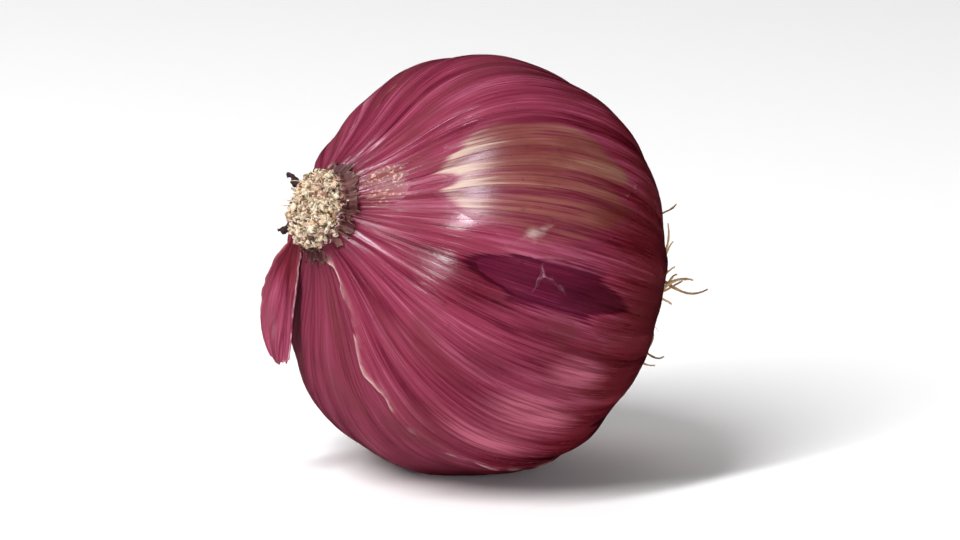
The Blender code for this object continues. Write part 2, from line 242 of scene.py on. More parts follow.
def wrinkles(run, angle):
    # Broad and fine lengthwise waves, crowned strips between the veins, and pleats at the two ends
    wander = veinWander(run, angle)
    broad = wrinkleForm["broad"] * layeredNoise(roundPlace(run, angle, 5.0, 2.4), 11, 2)
    fine = wrinkleForm["fine"] * layeredNoise(roundPlace(run, angle, 17.0, 4.5), 17, 3)
    strip = wrinkleForm["strip"] * (np.abs(np.sin((wrinkleForm["veins"] * angle + wander) / 2)) - 0.6)
    near = ease((run - 0.80) / 0.18) + 0.55 * ease((0.13 - run) / 0.1)
    near = near * (0.35 + 0.9 * np.abs(softNoise(roundPlace(run, angle, 4.0, 6.0), 23)))
    pleats = wrinkleForm["gather"] * near * np.cos(wrinkleForm["gathers"] * angle + 2.1 * wander)
    return broad + fine + strip + pleats


def gridFaces(rows, columns):
    # Four corners for each cell, in the order that faces outwards on this onion
    corner = np.arange(rows * columns).reshape(rows, columns)
    return np.stack((corner[:-1, :-1], corner[1:, :-1], corner[1:, 1:], corner[:-1, 1:]), axis=-1)


def pullToBorder(grids, inside):
    # A point outside the paper with one inside beside it moves to the mean of the border's crossings between
    # them, at most 0.88 of the way
    total = [np.zeros(inside.shape) for layer in grids]
    count = np.zeros(inside.shape)
    rows, columns = inside.shape
    row, column = np.indices(inside.shape)
    for down in (-1, 0, 1):
        for over in (-1, 0, 1):
            valid = (row + down >= 0) & (row + down < rows) & (column + over >= 0) & (column + over < columns)
            other = np.roll(inside, (-down, -over), (0, 1))
            use = valid & (inside <= 0) & (other > 0)
            share = np.clip(np.where(use, inside / np.where(use, inside - other, 1.0), 0.0), 0.0, 0.88)
            count += use
            for number, layer in enumerate(grids):
                total[number] += use * (layer + share * (np.roll(layer, (-down, -over), (0, 1)) - layer))
    return [np.where(count > 0, total[n] / np.maximum(count, 1), layer) for n, layer in enumerate(grids)]


def cutFaces(inside):
    # The grid's cells with at least one corner inside the paper
    wet = inside > 0
    return gridFaces(*inside.shape)[wet[:-1, :-1] | wet[1:, :-1] | wet[1:, 1:] | wet[:-1, 1:]]


def compact(points, faces, values):
    # Only the points that a face uses, with their values
    used, faces = np.unique(faces, return_inverse=True)
    count = points.size // 3
    values = {name: value.reshape(count, -1)[used] for name, value in values.items()}
    return points.reshape(-1, 3)[used], faces.reshape(-1, 4), values


def joinParts(parts):
    # One array of points, faces and values from several, with the faces' numbers moved on
    starts = np.cumsum([0] + [len(part[0]) for part in parts[:-1]])
    faces = np.concatenate([part[1] + start for start, part in zip(starts, parts)])
    values = {name: np.concatenate([part[2][name] for part in parts]) for name in parts[0][2]}
    return np.concatenate([part[0] for part in parts]), faces, values


def closedRings(rings, ends, values, inward=False):
    # Four corners for each cell between closed rings, and fans from the first and the last ring to one end
    # point each, which takes the first value of its ring; inward turns every face round
    rows, columns = rings.shape[:2]
    first = np.arange(columns)
    following = (first + 1) % columns
    base = np.arange(rows - 1)[:, None] * columns
    above = base + columns
    last = (rows - 1) * columns
    sides = np.stack((base + first, above + first, above + following, base + following), axis=-1)
    start = np.stack((0 * first + last + columns, first, following), axis=-1)
    end = np.stack((0 * first + last + columns + 1, last + following, last + first), axis=-1)
    faces = []
    for part in (sides.reshape(-1, 4), start, end):
        faces += (np.roll(part[:, ::-1], 1, axis=1) if inward else part).tolist()
    points = np.concatenate((rings.reshape(-1, 3), ends))
    values = {
        name: np.concatenate((value.reshape(rows * columns, -1), value[(0, -1), 0].reshape(2, -1)))
        for name, value in values.items()
    }
    return points, faces, values


def addObject(name, data):
    made = bpy.data.objects.new(name, data)
    bpy.context.scene.collection.objects.link(made)
    return made


def addPiece(name, part, material, node, thickness=None, thicknessSide=-1.0):
    # A mesh object from points, faces and values, which rides with the onion and stands for its solid
    points, faces, values = part
    mesh = bpy.data.meshes.new(name)
    mesh.from_pydata(points, [], faces if isinstance(faces, list) else faces.tolist())
    for key, value in values.items():
        wide = value.ndim > 1 and value.shape[1] == 3
        data = mesh.attributes.new(key, "FLOAT_VECTOR" if wide else "FLOAT", "POINT").data
        data.foreach_set("vector" if wide else "value", np.ascontiguousarray(value, np.float32).ravel())
    mesh.update()
    mesh.shade_smooth()
    mesh.materials.append(material)
    piece = addObject(name, mesh)
    if thickness:
        solid = piece.modifiers.new("thickness", "SOLIDIFY")
        solid.thickness = thickness
        solid.offset = thicknessSide
    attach(piece, "root")
    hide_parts(node)
    print("onion:", name, len(mesh.polygons), "faces")


# Shader helpers. They add nodes to the material in the making. An input is a number, a colour or an output.
making = {}


def newMaterial(name, roughness, specular=0.30):
    # A material and its shader's inputs
    material = bpy.data.materials.new(name)
    material.use_nodes = True
    making["tree"] = material.node_tree
    shader = material.node_tree.nodes["Principled BSDF"].inputs
    shader["Roughness"].default_value = roughness
    shader["Specular IOR Level"].default_value = specular
    return material, shader


def addNode(kind, inputs=None, **settings):
    made = making["tree"].nodes.new(kind)
    for name, value in settings.items():
        setattr(made, name, value)
    for name, value in (inputs or {}).items():
        if isinstance(value, bpy.types.NodeSocket):
            making["tree"].links.new(value, made.inputs[name])
        else:
            made.inputs[name].default_value = value
    return made


def calc(operation, first, second=0.0):
    return addNode("ShaderNodeMath", {0: first, 1: second}, operation=operation).outputs[0]


def times(first, second):
    return calc("MULTIPLY", first, second)


def plus(total, *others):
    for other in others:
        total = calc("ADD", total, other)
    return total


def band(value, low, high, start=0.0, end=1.0):
    # start at low, end at high, eased between them
    inputs = {"Value": value, "From Min": low, "From Max": high, "To Min": start, "To Max": end}
    return addNode("ShaderNodeMapRange", inputs, interpolation_type="SMOOTHSTEP").outputs["Result"]


def mix(share, first, second, way="MIX"):
    # The first colour, with that share of the second one or, with MULTIPLY, of the product of the two
    first, second = ((*colour, 1.0) if isinstance(colour, tuple) else colour for colour in (first, second))
    made = addNode("ShaderNodeMix", {0: share, 6: first, 7: second}, data_type="RGBA", blend_type=way)
    return made.outputs[2]


def stretched(vector, x, y, z):
    return addNode("ShaderNodeVectorMath", {0: vector, 1: (x, y, z)}, operation="MULTIPLY").outputs[0]


def noiseValue(vector, scale=1.0, detail=4.0, roughness=0.55, distortion=0.0):
    inputs = {"Vector": vector, "Scale": scale, "Detail": detail, "Roughness": roughness}
    return addNode("ShaderNodeTexNoise", {**inputs, "Distortion": distortion}).outputs[0]


def attribute(name, output="Fac"):
    return addNode("ShaderNodeAttribute", attribute_name=name).outputs[output]


def objectPlace():
    return addNode("ShaderNodeTexCoord").outputs["Object"]


def finishSurface(shader, colour, height, strength, distance):
    # The colour, and a bump from the height
    bump = addNode("ShaderNodeBump", {"Height": height, "Strength": strength, "Distance": distance})
    making["tree"].links.new(colour, shader["Base Color"])
    making["tree"].links.new(bump.outputs[0], shader["Normal"])


# Skins: colours are linear. deep, main and light are streaks, blotch is a second colour in clouds and fleck a
# third in small spots. A look with a film shows the skin under it where that film is thin.
skinLooks = {
    "glossy inner scale": dict(
        deep=(0.050, 0.003, 0.013),
        main=(0.090, 0.006, 0.023),
        light=(0.170, 0.014, 0.050),
        blotch=(0.048, 0.003, 0.014),
        blotches=(0.45, 0.70, 0.6),
        vein=0.55,
        neckEnd=(0.190, 0.050, 0.055),
        neckFrom=(0.92, 1.04),
        rootEnd=(0.400, 0.220, 0.140),
        edge=(0.500, 0.300, 0.320),
        roughness=(0.18, 0.28),
        bump=0.30,
    ),
    "dry plum skin": dict(
        under="glossy inner scale",
        film=(-0.10, 0.75),
        deep=(0.125, 0.012, 0.029),
        main=(0.216, 0.029, 0.061),
        light=(0.328, 0.073, 0.136),
        blotch=(0.150, 0.028, 0.038),
        blotches=(0.48, 0.68, 0.62),
        vein=0.40,
        # Painted shade: dark maroon at the neck end, beside the collar
        neckEnd=(0.085, 0.014, 0.024),
        neckFrom=(0.94, 1.05),
        rootEnd=(0.380, 0.180, 0.100),
        edge=(0.640, 0.420, 0.400),
        roughness=(0.17, 0.30),
        bump=0.42,
    ),
    "copper outer skin": dict(
        under="dry plum skin",
        film=(0.15, 1.25),
        deep=(0.120, 0.030, 0.034),
        main=(0.198, 0.062, 0.048),
        light=(0.265, 0.130, 0.092),
        blotch=(0.135, 0.026, 0.024),
        blotches=(0.46, 0.63, 0.65),
        vein=0.55,
        # Cream towards the neck-side end: partly the dry skin's paler end, partly a painted highlight on the
        # front patch
        neckEnd=(0.500, 0.370, 0.290),
        neckFrom=(0.71, 0.81),
        rootEnd=(0.470, 0.270, 0.150),
        edge=(0.700, 0.520, 0.390),
        roughness=(0.30, 0.44),
        bump=0.45,
    ),
}
skinLooks["dull plum skin"] = dict(skinLooks["dry plum skin"], roughness=(0.46, 0.60), specular=0.12)
skinLooks["loose purple scale"] = dict(
    skinLooks["dry plum skin"],
    deep=(0.150, 0.016, 0.044),
    main=(0.262, 0.040, 0.084),
    light=(0.370, 0.082, 0.142),
    edge=(0.560, 0.300, 0.330),
    roughness=(0.34, 0.48),
)
skinLooks["speckled skin"] = dict(
    skinLooks["copper outer skin"],
    film=(0.40, 1.50),
    main=(0.240, 0.066, 0.060),
    light=(0.320, 0.115, 0.095),
    fleck=(0.520, 0.290, 0.240),
    neckFrom=(0.98, 1.10),
    roughness=(0.36, 0.50),
)
# The collar papers are dark brown-maroon: partly their own dry colour, partly painted shade of the gap round
# the neck
skinLooks["frayed collar"] = dict(
    skinLooks["copper outer skin"],
    film=(-0.50, 0.10),
    deep=(0.040, 0.007, 0.010),
    main=(0.088, 0.017, 0.020),
    light=(0.220, 0.105, 0.078),
    blotch=(0.060, 0.014, 0.014),
    blotches=(0.44, 0.56, 0.85),
    neckEnd=(0.300, 0.170, 0.120),
    neckFrom=(1.00, 1.12),
    edge=(0.480, 0.320, 0.240),
    roughness=(0.50, 0.70),
)
skinLooks["pale torn film"] = dict(
    skinLooks["copper outer skin"],
    under="glossy inner scale",
    film=(0.10, 1.10),
    deep=(0.150, 0.040, 0.070),
    main=(0.270, 0.110, 0.150),
    light=(0.420, 0.240, 0.290),
    neckFrom=(0.98, 1.10),
    edge=(0.300, 0.140, 0.180),
)
# Veins and scuffs are the skin's own marks, the roots' side is painted shade, the pale tint is a painted
# sheen and the dark tint only darkens
skinMarksAndPaintedLight = {
    "vein": (0.42, 0.30, 0.34),  # what a vein, the roots' side and a dark tint multiply the colour by
    "rootSide": (0.60, 0.26, 0.22),
    "darkTint": (0.52, 0.36, 0.40),
    "paintedSheen": (0.520, 0.138, 0.205),
    "scuff": (0.400, 0.290, 0.265),
}


def skinPattern():
    # What every skin's colour is worked out from: the run, the veins, streaks along them, clouds and spots
    where = attribute("skinPlace", "Vector")
    wander = attribute("wander")
    x, y, run = addNode("ShaderNodeSeparateXYZ", {0: where}).outputs
    angle = calc("ARCTAN2", y, x)
    # Veins: where the sine of half the vein's phase is near zero. Each strip between veins has its own tone.
    lines = []
    phases = []
    for veins, wide, stray in ((wrinkleForm["veins"], 0.22, 0.5), (wrinkleForm["fineVeins"], 0.24, 0.85)):
        phases.append(plus(times(angle, veins / 2), times(wander, stray)))
        lines.append(band(calc("ABSOLUTE", calc("SINE", phases[-1])), 0.0, wide, 1.0, 0.0))
    strip = calc("FLOORED_MODULO", calc("FLOOR", calc("DIVIDE", phases[0], math.pi)), wrinkleForm["veins"])
    stripTone = addNode("ShaderNodeTexWhiteNoise", {"W": strip}, noise_dimensions="1D").outputs["Value"]
    strong = band(noiseValue(stretched(where, 19, 19, 5), detail=2.0), 0.30, 0.62, 0.20, 1.0)
    weak = band(noiseValue(stretched(where, 27, 27, 7), detail=2.0), 0.45, 0.66, 0.0, 0.5)
    mainVeins = times(lines[0], strong)
    streaks = noiseValue(stretched(where, 72, 72, 6.0), detail=6.0, roughness=0.62)
    broad = noiseValue(stretched(where, 9, 9, 2.6))
    tone = plus(times(streaks, 0.45), times(broad, 0.45), times(stripTone, 0.10))
    solid = objectPlace()
    return {
        "where": where,
        "run": run,
        "tone": tone,
        "streaks": streaks,
        "mainVeins": mainVeins,
        "veins": calc("MAXIMUM", mainVeins, times(lines[1], weak)),
        "clouds": noiseValue(stretched(where, 3.4, 3.4, 5.0), distortion=0.6),
        "crinkle": noiseValue(stretched(where, 30, 30, 24), detail=3.0),
        "grain": noiseValue(solid, 1900.0, 3.0, 0.6),
        "specks": band(noiseValue(solid, 620.0, 2.0, 0.5), 0.66, 0.74, 0.0, 0.3),
        "flecks": band(noiseValue(solid, 1500.0, 3.0, 0.6), 0.54, 0.63),
        "ragged": plus(run, times(plus(tone, -0.5), 0.5)),
    }


def skinColour(look, pattern):
    # Deep to main to light by the streaks' tone, then blotches, flecks, darker veins and specks, painted
    # shade on the side towards the roots, and the two ends
    tone, ragged = pattern["tone"], pattern["ragged"]
    colour = mix(band(tone, 0.40, 0.52), look["deep"], look["main"])
    colour = mix(band(tone, 0.51, 0.66), colour, look["light"])
    low, high, share = look["blotches"]
    colour = mix(band(pattern["clouds"], low, high, 0.0, share), colour, look["blotch"])
    if "fleck" in look:
        colour = mix(pattern["flecks"], colour, look["fleck"])
    dark = calc("MAXIMUM", times(pattern["veins"], look["vein"]), pattern["specks"])
    colour = mix(dark, colour, skinMarksAndPaintedLight["vein"], "MULTIPLY")
    # Painted shade: the colour darkens towards the roots' side
    colour = mix(band(ragged, 0.58, 0.36, 0.0, 0.90), colour, skinMarksAndPaintedLight["rootSide"], "MULTIPLY")
    # The neck end; on the plum skins its dark maroon is painted shade beside the collar
    colour = mix(band(ragged, *look["neckFrom"], 0.0, 0.85), colour, look["neckEnd"])
    return mix(band(ragged, 0.13, 0.01, 0.0, 0.85), colour, look["rootEnd"])


def skinMaterial(name):
    # The film over the skin below it, then scuffs, a painted sheen where the tint is above 0, a darker tint
    # below it and a torn border; rougher near the roots and at that border, with a bump from the veins,
    # streaks, crinkles and grain
    look = skinLooks[name]
    material, shader = newMaterial(name, 0.4, look.get("specular", 0.27))
    pattern = skinPattern()
    tone = pattern["tone"]
    edge, tint = attribute("edge"), attribute("tint")
    colour = skinColour(look, pattern)
    if "under" in look:
        clouds = plus(pattern["clouds"], -0.5)
        thick = plus(attribute("film"), times(plus(tone, -0.5), 4.2), times(clouds, 1.9))
        colour = mix(band(thick, *look["film"]), skinColour(skinLooks[look["under"]], pattern), colour)
    worn = times(attribute("scuff"), band(pattern["crinkle"], 0.38, 0.60, 0.10, 0.75))
    colour = mix(worn, colour, skinMarksAndPaintedLight["scuff"])
    # Painted sheen: paler lilac-pink where the tint is above 0, broken up by the streaks
    sheenShare = times(band(tint, 0.05, 1.0), band(pattern["streaks"], 0.38, 0.60, 0.30, 0.80))
    colour = mix(sheenShare, colour, skinMarksAndPaintedLight["paintedSheen"])
    colour = mix(band(tint, -0.05, -0.9), colour, skinMarksAndPaintedLight["darkTint"], "MULTIPLY")
    broken = noiseValue(stretched(pattern["where"], 16, 16, 14), detail=2.0)
    colour = mix(times(edge, band(broken, 0.42, 0.60, 0.0, 0.95)), colour, look["edge"])
    rough = plus(band(tone, 0.40, 0.62, *look["roughness"]), band(pattern["run"], 0.50, 0.22, 0.0, 0.20))
    making["tree"].links.new(plus(rough, times(edge, 0.15)), shader["Roughness"])
    layers = (("mainVeins", -0.22), ("streaks", 0.20), ("crinkle", 0.62), ("grain", 0.20))
    height = plus(*(times(pattern[layer], share) for layer, share in layers))
    finishSurface(shader, colour, height, look["bump"], 0.0002)
    return material


# Bulb: the glossy closed scale under the papery skins
innerScale = {
    "rows": 170,
    "columns": 330,
    "neckEnd": 1.015,
    "neckRadius": 0.0068,
    "sunk": 0.0004,  # how far its middle lies below the dish's own floor
    "lift": -0.00025,
    "floor": 0.0009,
}


def skinValues(run, angle, edge=0.0, film=1.4, scuff=0.0, tint=0.0):
    # What the skins' material reads: the place round the onion, the veins' wander, how near a torn border is,
    # how thick the film is, how scuffed, and how much a painted sheen makes it paler or, below 0, darker
    edge, film, scuff, tint, shape = np.broadcast_arrays(edge, film, scuff, tint, run + 0 * angle)
    marks = {"edge": edge, "film": film, "scuff": scuff, "tint": tint}
    return {"skinPlace": roundPlace(run, angle, 1, 1), "wander": veinWander(run, angle), **marks}


def onFloor(points, floor):
    # Nothing reaches lower than the skin's own floor, where the onion rests
    points[..., 2] = np.maximum(points[..., 2], floor)
    return points


def makeInnerScale():
    # Rings from the dish's middle, along the outline and in again under the neck, each end closed to a point
    neckEnd = innerScale["neckEnd"]
    run = np.linspace(0.0, neckEnd, innerScale["rows"])[:, None]
    angle = np.linspace(0.0, 2 * math.pi, innerScale["columns"], endpoint=False)[None, :]
    dishFloor = baseHeight(bulbForm["dish"]) + bulbForm["dishDepth"] - innerScale["sunk"]
    neckTop = along(neckEnd, "height")
    rings = np.concatenate((
        place(dishFloor, bulbForm["dish"] * np.array((0.33, 0.66, 1.0))[:, None], angle),
        onBulb(run, angle, innerScale["lift"] + wrinkles(run, angle)),
        place(neckTop - 0.0002, innerScale["neckRadius"] * np.array((0.66, 0.33))[:, None], angle),
    ))
    runs = np.concatenate((np.full(3, -0.01), run[:, 0], np.full(2, neckEnd)))[:, None]
    ends = place(np.array((dishFloor, neckTop)), 0.0, 0.0)
    return closedRings(onFloor(rings, innerScale["floor"]), ends, skinValues(runs, angle))


addPiece("inner_scale", makeInnerScale(), skinMaterial("glossy inner scale"), "bulb")

# Papery skins. Angles are in degrees round the onion, runs along it, and other lengths in millimetres. A
# patch and a window (a hole torn in the skin) are a run, an angle, half a length along the veins and half a
# width. A tint is the same and its strength: above 0 a painted sheen, below 0 darker. A sheet lies at its
# lift; it rises near its border within its reach and sinks there within its sinkReach. Over thin millimetres
# from its border, or from its windows, its film grows.
paperForm = {
    "windows": (),
    "windowLift": -0.34,  # a window's border lies below the inner scale's own surface
    "windowReach": 5.0,
    "tints": (),
    "floor": 0.0,
    "tear": 0.0,
    "sway": 2.4,
    "crumbs": 0.3,
    "sink": 0.0,
    "sinkReach": 2.2,
    "paleEdge": 0.35,
    "edgeWidth": 0.25,
    "scuffFade": 1.3,
}
paperSheets = {
    "dry_skin_back": dict(
        look="dull plum skin", angles=(146, 342), runs=(0.05, 1.024), cell=0.56, lift=0.10, rise=0.7,
        reach=1.4, tear=6.0, floor=0.00035, thin=4.0, seed=21,
    ),
    "dry_skin_front": dict(
        look="dry plum skin", angles=(-32, 151), runs=(0.045, 1.030), cell=0.55, lift=0.42, rise=1.0,
        reach=1.3, tear=6.0, floor=0.0001, thin=5.5, paleEdge=0.9, seed=33,
        windows=((0.578, 91.5, 15.0, 2.6), (0.24, 128, 7.0, 1.2)),
        # Tints above 0 are a painted sheen on the lower belly; those below 0 are darker
        tints=(
            (0.470, 111, 7.0, 3.5, 0.85),
            (0.512, 126, 10.0, 4.0, 1.1),
            (0.540, 139, 11.0, 3.0, 0.9),
            (0.800, 129, 7.0, 2.5, 0.35),
            (0.720, 98, 7.5, 4.5, -1.0),
            (0.640, 118, 8.0, 4.0, -0.6),
            (0.840, 97, 5.0, 4.0, -0.4),
            (0.560, 104, 7.0, 3.0, -0.4),
        ),
    ),
    "copper_skin_front": dict(
        look="copper outer skin", patch=(0.614, 59.2, 21.5, 16.8), cell=0.42, lift=0.58, sink=0.34, rise=0.25,
        reach=1.0, tear=9.0, thin=5.4, paleEdge=0.15, seed=47,
        scuff=dict(
            creases=(((0.640, 78.8), (0.606, 75.4)), ((0.640, 78.8), (0.672, 82.2))), creaseWidth=1.7,
        ),
    ),
    "copper_skin_root": dict(
        look="copper outer skin", patch=(0.08, 50, 9.0, 26.0), cell=0.45, lift=0.66, rise=0.5, reach=1.0,
        tear=13.0, thin=4.0, seed=59,
    ),
    "copper_skin_back": dict(
        look="copper outer skin", patch=(0.52, 288, 27.0, 12.0), cell=0.48, lift=0.34, sink=0.42, rise=0.5,
        reach=1.0, tear=12.0, thin=6.0, seed=71,
    ),
    "speckled_skin_neck": dict(
        look="speckled skin", patch=(0.925, 52, 7.0, 6.0), cell=0.26, lift=0.56, sink=0.30, rise=0.15,
        reach=0.7, tear=7.0, thin=3.0, seed=95,
    ),
    "collar_paper_front": dict(
        look="frayed collar", angles=(8, 118), runs=(0.990, 1.026), cell=0.22, lift=0.75, rise=1.1,
        reach=1.2, tear=3.2, seed=141,
    ),
    "collar_paper_under": dict(
        look="frayed collar", angles=(112, 236), runs=(0.988, 1.024), cell=0.22, lift=0.60, rise=1.0,
        reach=1.2, tear=3.0, seed=153,
    ),
    "collar_paper_back": dict(
        look="frayed collar", angles=(232, 372), runs=(0.986, 1.028), cell=0.22, lift=0.50, rise=1.0,
        reach=1.2, tear=3.2, seed=165,
    ),
    "pale_fold": dict(
        look="pale torn film", creaseWidth=0.70, cell=0.09, lift=-0.17, rise=0.12, reach=3.0, thin=0.75,
        sink=0.20, sinkReach=0.25, seed=107,
        creases=(
            ((0.601, 89.2), (0.612, 84.6)),
            ((0.601, 89.2), (0.620, 96.4)),
            ((0.601, 89.2), (0.552, 92.0)),
            ((0.560, 91.2), (0.541, 93.6)),
        ),
    ),
}


def stripInside(run, angle, middleRun, degrees, halfLength, halfWidth, fingers, sway):
    # Millimetres inside a strip along the veins, whose ends are torn into fingers and whose sides sway
    up = np.abs(run - middleRun) * runLength
    over = np.abs(angle - math.radians(degrees)) * radiusAt(run)
    ends = halfLength * (1 - 0.4 * np.minimum(over / halfWidth, 1.2) ** 2) - up + fingers
    waist = halfWidth * (1 - 0.75 * np.minimum(up / halfLength, 1.3) ** 2)
    return np.minimum(ends, waist - over + sway)


def creaseInside(sheet, run, angle):
    # The crease's half width, less towards the far end of each stretch, less the distance to the nearest
    # stretch, in millimetres; soft noise bends the stretches and varies their width
    scale = np.array((runLength, radiusAt(sheet["creases"][0][0][0]) * math.pi / 180))
    spot = np.stack((run, np.degrees(angle)), axis=-1) * scale
    flat = point(spot[..., 0], spot[..., 1], 0.0)
    spot = spot + 0.55 * np.stack([softNoise(0.75 * flat, seed) for seed in (5, 6)], axis=-1)
    inside = np.full(run.shape, -np.inf)
    for first, last in sheet["creases"]:
        first, last = np.array(first) * scale, np.array(last) * scale
        share = np.clip(((spot - first) @ (last - first)) / ((last - first) @ (last - first)), 0.0, 1.0)
        away = np.linalg.norm(spot - first - share[..., None] * (last - first), axis=-1)
        inside = np.maximum(inside, sheet["creaseWidth"] * (1 - 0.85 * share) - away)
    return inside + 0.16 * layeredNoise(1.6 * flat, 8, 3)


def paperInside(sheet, run, angle):
    # Millimetres to the sheet's own border and to the nearest window, both with fine torn crumbs
    seed = sheet["seed"]
    fingers = sheet["tear"] * layeredNoise(roundPlace(run, angle, 10.0, 1.6), seed, 4, 0.6)
    sway = sheet["sway"] * layeredNoise(roundPlace(run, angle, 2.0, 9.0), seed + 9, 3)
    crumbs = sheet["crumbs"] * layeredNoise(roundPlace(run, angle, 60.0, 60.0), seed + 5, 2)
    if "creases" in sheet:
        border = creaseInside(sheet, run, angle) - crumbs
    elif "patch" in sheet:
        border = stripInside(run, angle, *sheet["patch"], fingers, sway)
    else:
        low, high = (math.radians(degrees) for degrees in sheet["angles"])
        start, end = sheet["runs"]
        sides = np.minimum(angle - low, high - angle) * radiusAt(run) + sway
        border = np.minimum(sides, (run - start) * runLength + fingers)
        border = np.minimum(border, (end - run) * runLength + 0.2 * fingers)
    hole = np.full(run.shape, 100.0)
    for window in sheet["windows"]:
        hole = np.minimum(hole, -stripInside(run, angle, *window, -0.55 * fingers, -0.5 * sway))
    return border + crumbs, hole + crumbs


def sheetGrid(sheet):
    # Rows along the run and columns round the onion, about one cell apart at the widest place
    if "creases" in sheet:
        corners = np.array(sheet["creases"]).reshape(-1, 2)
        runs, angles = ((corners[:, n].min(), corners[:, n].max()) for n in (0, 1))
    elif "patch" in sheet:
        run, degrees, halfLength, halfWidth = sheet["patch"]
        spread = (halfLength + 0.7 * sheet["tear"]) / runLength
        wide = math.degrees((halfWidth + 1.5) / radiusAt(run))
        angles = (degrees - wide, degrees + wide)
        runs = (run - spread, run + spread)
    else:
        angles, runs = sheet["angles"], sheet["runs"]
    runs = (max(runs[0] - 0.02, 0.002), min(runs[1] + 0.01, 1.075))
    angles = [math.radians(a) for a in (angles[0] - 3, angles[1] + 3)]
    rows = int((runs[1] - runs[0]) * runLength / sheet["cell"])
    columns = int((angles[1] - angles[0]) * radiusAt(np.linspace(*runs, 50)).max() / sheet["cell"])
    return grid(runs, rows, angles, columns)


def softTints(sheet, run, angle):
    # A bell round each tint's middle, by half a length along the veins and half a width, times its strength
    total = 0.0 * run
    for middleRun, degrees, halfLength, halfWidth, strength in sheet["tints"]:
        up = (run - middleRun) * runLength / halfLength
        over = (angle - math.radians(degrees)) * radiusAt(run) / halfWidth
        total = total + strength * np.exp(-(up**2) - over**2)
    return total


def makeSheet(sheet):
    # The grid, cut and pulled to the torn border, lifted off the skin below and more in places near that
    # border. Where it sinks there, it ends in the skin below, as a window does in the inner scale. The film
    # grows from -0.7 to 1: a strip's from its whole border, a large sheet's only from its windows.
    run, angle = sheetGrid(sheet)
    border, hole = paperInside(sheet, run, angle)
    inside = np.minimum(border, hole)
    faces = cutFaces(inside)
    run, angle, border, hole = pullToBorder((run, angle, border, hole), inside)
    border, hole = np.maximum(border, 0.0), np.maximum(hole, 0.0)
    flutter = 0.10 + 1.5 * layeredNoise(roundPlace(run, angle, 9.0, 9.0), sheet["seed"] + 3, 2)
    lift = sheet["lift"] + sheet["rise"] * np.clip(flutter, 0.0, 1.3) * np.exp(-border / sheet["reach"])
    lift = lift - sheet["sink"] * np.exp(-border / sheet["sinkReach"])
    lift = sheet["windowLift"] + (lift - sheet["windowLift"]) * ease(hole / sheet["windowReach"])
    points = onBulb(run, angle, lift / 1000 + wrinkles(run, angle))
    edge = sheet["paleEdge"] * np.exp(-border / sheet["edgeWidth"])
    thinned = hole if "angles" in sheet else np.minimum(border, hole)
    film = 1.7 * ease(thinned / sheet["thin"]) - 0.7 if "thin" in sheet else 1.4
    scuff = ease(creaseInside(sheet["scuff"], run, angle) / sheet["scuffFade"]) if "scuff" in sheet else 0.0
    values = skinValues(run, angle, edge, film, scuff, softTints(sheet, run, angle))
    return compact(onFloor(points, sheet["floor"]), faces, values)


usedLooks = sorted({sheet["look"] for sheet in paperSheets.values()})
skinMaterials = {look: skinMaterial(look) for look in usedLooks}
for name, sheet in paperSheets.items():
    thickness = 0.00006 if "patch" in sheet else 0.00012
    part = makeSheet({**paperForm, **sheet})
    addPiece(name, part, skinMaterials[sheet["look"]], "bulb", thickness)

# Loose scale: a leaf-shaped dry scale that hangs from the base of the neck, as in the solid
looseForm = {
    "angles": (math.radians(236), math.radians(200.5)),
    "distances": (0.0094, 0.0332),
    "halfWidth": 0.0057,
    "foot": 0.40,  # share of that width at the neck
    "widest": 0.56,
    "tip": 0.46,
    "slant": (0.115, 0.065),
    "crest": 0.15,
    "lift": (0.0010, 0.0080),
    "liftPower": 2.2,
    "curl": 0.0030,
    "curlPower": 1.5,
    "length": 25.0,  # millimetres, with the width below, for the torn border
    "width": 5.7,
    "thickness": 0.0003,
    "rows": 130,
    "columns": 56,
    "tear": 0.9,
    "seed": 131,
}


def makeLooseScale():
    # Its width grows with an eased share of its length to the widest place and is rounded off after it; the
    # tip slants; it lifts with a power of its length, one side curls up, and fine ridges run along it
    form = looseForm
    share, over = grid((0, 1), form["rows"], (-1, 1), form["columns"])
    grain = point(4.5 * over, 1.2, 5.0 * share)
    torn = form["tear"] * layeredNoise(2.2 * grain, form["seed"], 4, 0.7)
    side = (0.96 - np.abs(over)) * form["width"] + torn * (0.35 + 0.65 * ease(0.5 - 2.0 * over))
    inside = np.minimum(side, (0.985 - share) * form["length"] + torn)
    faces = cutFaces(inside)
    share, over = pullToBorder((share, over), inside)
    before = np.maximum(0.0, (form["crest"] - over) / (1 + form["crest"]))
    after = np.maximum(0.0, (over - form["crest"]) / (1 - form["crest"]))
    up = share * (1 - form["slant"][0] * before**2 - form["slant"][1] * after**2)
    distance = np.interp(up, (0, 1), form["distances"])
    angle = np.interp(up, (0, 1), form["angles"])
    tip = np.sqrt(1 - np.minimum(np.maximum(up - form["widest"], 0.0) / form["tip"], 1.0) ** 2)
    wide = (form["foot"] + (1 - form["foot"]) * ease(up / form["widest"])) * tip
    lift = np.interp(up ** form["liftPower"], (0, 1), form["lift"])
    curl = form["curl"] * np.minimum(1, 2.6 * up) * wide * (0.5 + 0.5 * over) ** form["curlPower"]
    waves = 0.0004 * np.sin(8 * up + 2 * over) + 0.00016 * np.cos(11 * over + 2 * np.sin(5 * up))
    waves = waves + 0.0005 * layeredNoise(grain * 0.6, form["seed"] + 7, 3)
    points = place(shoulderHeight(distance) + lift + curl + waves, distance, angle)
    sideways = place(0.0, 1.0, angle + math.pi / 2) - stand["shift"]
    points = points + (form["halfWidth"] * wide * over)[..., None] * sideways
    edge = np.exp(-np.maximum(inside, 0) / 0.25) * (0.25 + 0.75 * ease(0.5 - 2.0 * over))
    return compact(points, faces, skinValues(0.25 + 0.5 * up, 3.7 + 0.26 * over, edge))


looseLook = skinMaterial("loose purple scale")
addPiece("loose_scale", makeLooseScale(), looseLook, "loose_skin", looseForm["thickness"], 0.0)

